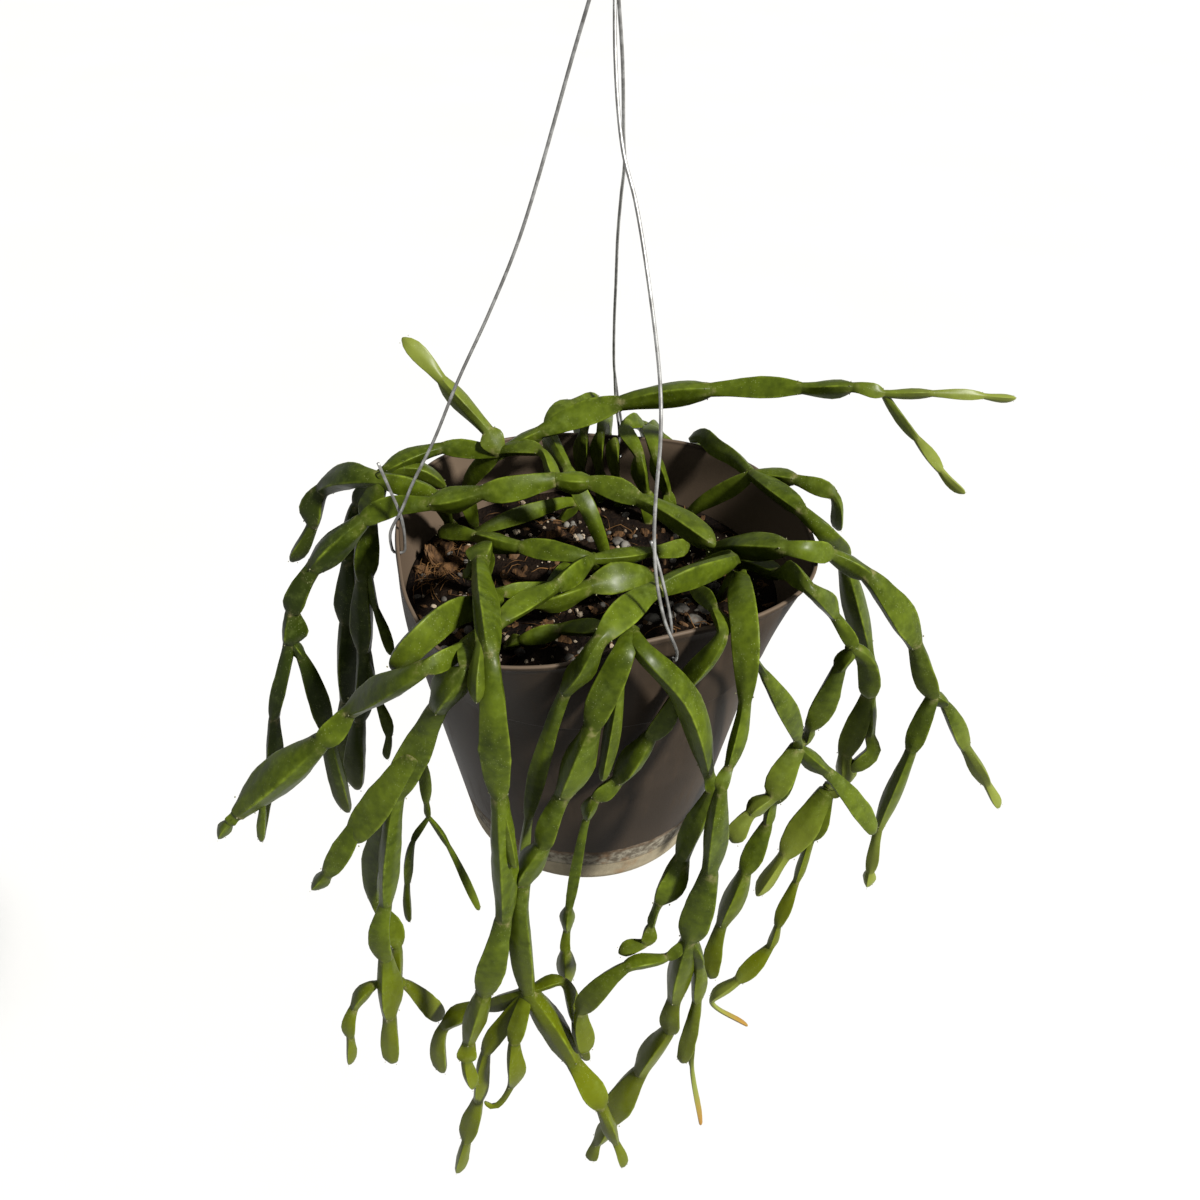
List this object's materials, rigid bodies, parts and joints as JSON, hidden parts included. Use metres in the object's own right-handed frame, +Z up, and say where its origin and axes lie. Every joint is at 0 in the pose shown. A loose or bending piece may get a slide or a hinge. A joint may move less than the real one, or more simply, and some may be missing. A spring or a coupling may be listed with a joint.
{
  "type": "potted chain cactus in a hanging pot",
  "caption": "Chain cactus with arching, drooping three-ribbed jointed stems, growing in a round tapered pot that hangs by thin wires from a hook.",
  "frame": {"origin": "the point where the wire hook bears on the rod, nail or bracket that holds it up", "axes": "+Z up; -Y towards the viewer's side, where the longest stems hang; +X to the viewer's right"},
  "size_m": [0.5231, 0.3309, 0.8511],
  "materials": {
    "cactus_skin": "living plant skin: waxy mid green with paler rib edges, yellow-green to tan at the young tips",
    "pot_plastic": "matte taupe-brown moulded plastic, dusty, with a pale scaly band at the foot",
    "potting_soil": "dark damp potting mix of bark fibre with white perlite",
    "galvanised_wire": "dull grey galvanised wire"
  },
  "bodies": {
    "root": {"hook": "galvanised_wire", "wire_left": "galvanised_wire", "wire_front": "galvanised_wire", "wire_back": "galvanised_wire", "pot": "pot_plastic", "soil": "potting_soil", "stem_crown": "cactus_skin", "stem_left": "cactus_skin", "stem_front_left": "cactus_skin", "stem_front": "cactus_skin", "stem_low_middle": "cactus_skin", "stem_low_left": "cactus_skin", "stem_low_back": "cactus_skin", "stem_over_back": "cactus_skin", "stem_front_long": "cactus_skin", "stem_loop": "cactus_skin", "stem_thin": "cactus_skin", "stem_front_right": "cactus_skin", "stem_right_short": "cactus_skin", "stem_right": "cactus_skin", "stem_right_back": "cactus_skin", "stem_back_1": "cactus_skin", "stem_back_2": "cactus_skin", "stem_back_3": "cactus_skin", "stem_back_4": "cactus_skin", "stem_back_5": "cactus_skin"}
  },
  "joints": []
}
